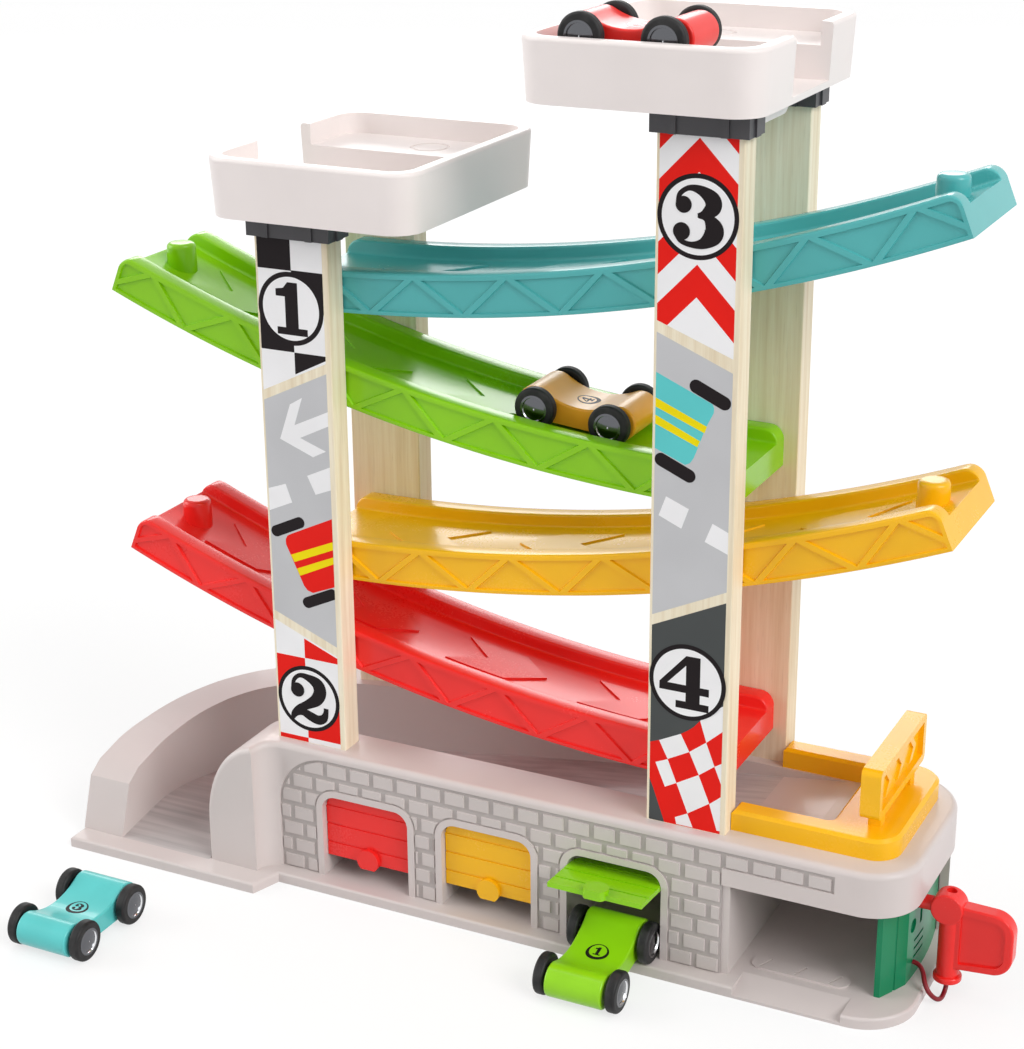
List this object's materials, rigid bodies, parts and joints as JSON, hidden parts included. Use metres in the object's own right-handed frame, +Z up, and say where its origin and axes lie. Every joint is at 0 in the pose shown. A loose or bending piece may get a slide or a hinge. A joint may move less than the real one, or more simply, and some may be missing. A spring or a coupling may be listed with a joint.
{
  "type": "toy car ramp",
  "caption": "Zigzag toy car ramp: towers of flat boards carry curved tracks and top trays over a garage base with a run-out channel, lifting doors, a play fuel pump and small wooden cars.",
  "frame": {"origin": "on the ground under the middle of the whole toy", "axes": "+X along the tracks towards the fuel pump, +Y towards the back, +Z up"},
  "size_m": [0.4426, 0.2222, 0.4069],
  "materials": {
    "base": "warm light grey moulded plastic, soft gloss",
    "channel": "grey moulded plastic, slightly scuffed",
    "board": "pale smooth beech with a printed front",
    "cap": "dark grey moulded plastic",
    "tray": "warm light grey moulded plastic, soft gloss",
    "teal": "teal moulded plastic",
    "green": "bright green moulded plastic",
    "yellow": "warm yellow moulded plastic",
    "red": "red moulded plastic",
    "dark_green": "deep green moulded plastic",
    "hose": "dark red soft plastic",
    "car_teal": "teal gloss paint on wood",
    "car_green": "green gloss paint on wood",
    "car_red": "red gloss paint on wood",
    "car_orange": "orange gloss paint on wood",
    "tyre": "black rubber",
    "hub": "bright metal cap",
    "axle": "plain steel pin"
  },
  "bodies": {
    "ramp": {"base_plate": "base", "garage_front": "base", "pump_house": "base", "chute_wall": "base", "chute_floor": "channel", "board_front_left": "board", "cap_front_left": "cap", "board_front_right": "board", "cap_front_right": "cap", "board_rear_left": "board", "cap_rear_left": "cap", "board_rear_right": "board", "cap_rear_right": "cap", "tray_left": "tray", "tray_right": "tray", "track_teal": "teal", "track_green": "green", "track_yellow": "yellow", "track_red": "red", "fence": "yellow", "sign": "yellow", "pump_panel": "dark_green", "fuel_hose": "hose"},
    "red_door": {"door_red": "red"},
    "yellow_door": {"door_yellow": "yellow"},
    "green_door": {"door_green": "green"},
    "nozzle": {"fuel_gun": "red"},
    "teal_car": {"car_teal_body": "car_teal"},
    "teal_front_wheels": {"car_teal_front_axle": "axle", "car_teal_front_tyres": "tyre", "car_teal_front_hubs": "hub"},
    "teal_rear_wheels": {"car_teal_rear_axle": "axle", "car_teal_rear_tyres": "tyre", "car_teal_rear_hubs": "hub"},
    "green_car": {"car_green_body": "car_green"},
    "green_front_wheels": {"car_green_front_axle": "axle", "car_green_front_tyres": "tyre", "car_green_front_hubs": "hub"},
    "green_rear_wheels": {"car_green_rear_axle": "axle", "car_green_rear_tyres": "tyre", "car_green_rear_hubs": "hub"},
    "red_car": {"car_red_body": "car_red"},
    "red_front_wheels": {"car_red_front_axle": "axle", "car_red_front_tyres": "tyre", "car_red_front_hubs": "hub"},
    "red_rear_wheels": {"car_red_rear_axle": "axle", "car_red_rear_tyres": "tyre", "car_red_rear_hubs": "hub"},
    "orange_car": {"car_orange_body": "car_orange"},
    "orange_front_wheels": {"car_orange_front_axle": "axle", "car_orange_front_tyres": "tyre", "car_orange_front_hubs": "hub"},
    "orange_rear_wheels": {"car_orange_rear_axle": "axle", "car_orange_rear_tyres": "tyre", "car_orange_rear_hubs": "hub"}
  },
  "joints": [
    {"name": "red_door_hinge", "type": "hinge", "parent": "ramp", "child": "red_door", "pos_m": [-0.06947, 0.00476, 0.0393], "axis": [-1, 0, 0], "range_deg": [0, 95]},
    {"name": "yellow_door_hinge", "type": "hinge", "parent": "ramp", "child": "yellow_door", "pos_m": [-0.00747, 0.00476, 0.0393], "axis": [-1, 0, 0], "range_deg": [0, 95]},
    {"name": "green_door_hinge", "type": "hinge", "parent": "ramp", "child": "green_door", "pos_m": [0.05452, 0.00476, 0.0393], "axis": [-1, 0, 0], "range_deg": [-45, 0]},
    {"name": "nozzle_slide", "type": "slide", "parent": "ramp", "child": "nozzle", "axis": [1, 0, 0], "range_m": [0, 0.009]},
    {"name": "teal_car_travel", "type": "slide", "parent": "ramp", "child": "teal_car", "axis": [0, -1, 0], "range_m": [-0.028, 0.06]},
    {"name": "teal_front_roll", "type": "hinge", "parent": "teal_car", "child": "teal_front_wheels", "pos_m": [-0.17007, -0.10089, 0.0092], "axis": [1, 0, 0], "range_deg": [-180, 379]},
    {"name": "teal_rear_roll", "type": "hinge", "parent": "teal_car", "child": "teal_rear_wheels", "pos_m": [-0.17007, -0.06659, 0.0092], "axis": [1, 0, 0], "range_deg": [-180, 379]},
    {"name": "green_car_travel", "type": "slide", "parent": "ramp", "child": "green_car", "axis": [0, -1, 0], "range_m": [-0.015, 0.003]},
    {"name": "green_front_roll", "type": "hinge", "parent": "green_car", "child": "green_front_wheels", "pos_m": [0.0565, -0.03704, 0.0092], "axis": [1, 0, 0], "range_deg": [-99, 24]},
    {"name": "green_rear_roll", "type": "hinge", "parent": "green_car", "child": "green_rear_wheels", "pos_m": [0.0565, -0.0031, 0.0142], "axis": [1, 0, 0], "range_deg": [-99, 24]},
    {"name": "red_car_travel", "type": "slide", "parent": "ramp", "child": "red_car", "axis": [1, 0, 0], "range_m": [-0.008, 0.022]},
    {"name": "red_front_roll", "type": "hinge", "parent": "red_car", "child": "red_front_wheels", "pos_m": [0.07228, 0.01656, 0.3977], "axis": [0, 1, 0], "range_deg": [-55, 143]},
    {"name": "red_rear_roll", "type": "hinge", "parent": "red_car", "child": "red_rear_wheels", "pos_m": [0.03798, 0.01656, 0.3977], "axis": [0, 1, 0], "range_deg": [-55, 143]},
    {"name": "orange_car_travel", "type": "hinge", "parent": "ramp", "child": "orange_car", "pos_m": [0.09388, 0.05016, 0.983], "axis": [0, -1, 0], "range_deg": [-12.5, 3.5]},
    {"name": "orange_front_roll", "type": "hinge", "parent": "orange_car", "child": "orange_front_wheels", "pos_m": [0.03619, 0.05016, 0.23241], "axis": [0, 1, 0], "range_deg": [-1041, 295]},
    {"name": "orange_rear_roll", "type": "hinge", "parent": "orange_car", "child": "orange_rear_wheels", "pos_m": [0.00206, 0.05016, 0.23582], "axis": [0, 1, 0], "range_deg": [-1041, 295]}
  ],
  "couplings": [
    {"joint": "teal_front_roll", "follows": "teal_car_travel", "rad_per_m": 108.7},
    {"joint": "teal_rear_roll", "follows": "teal_car_travel", "rad_per_m": 108.7},
    {"joint": "green_front_roll", "follows": "green_car_travel", "rad_per_m": 108.7},
    {"joint": "green_rear_roll", "follows": "green_car_travel", "rad_per_m": 108.7},
    {"joint": "red_front_roll", "follows": "red_car_travel", "rad_per_m": 108.7},
    {"joint": "red_rear_roll", "follows": "red_car_travel", "rad_per_m": 108.7},
    {"joint": "orange_front_roll", "follows": "orange_car_travel", "ratio": 82.826},
    {"joint": "orange_rear_roll", "follows": "orange_car_travel", "ratio": 82.826}
  ]
}
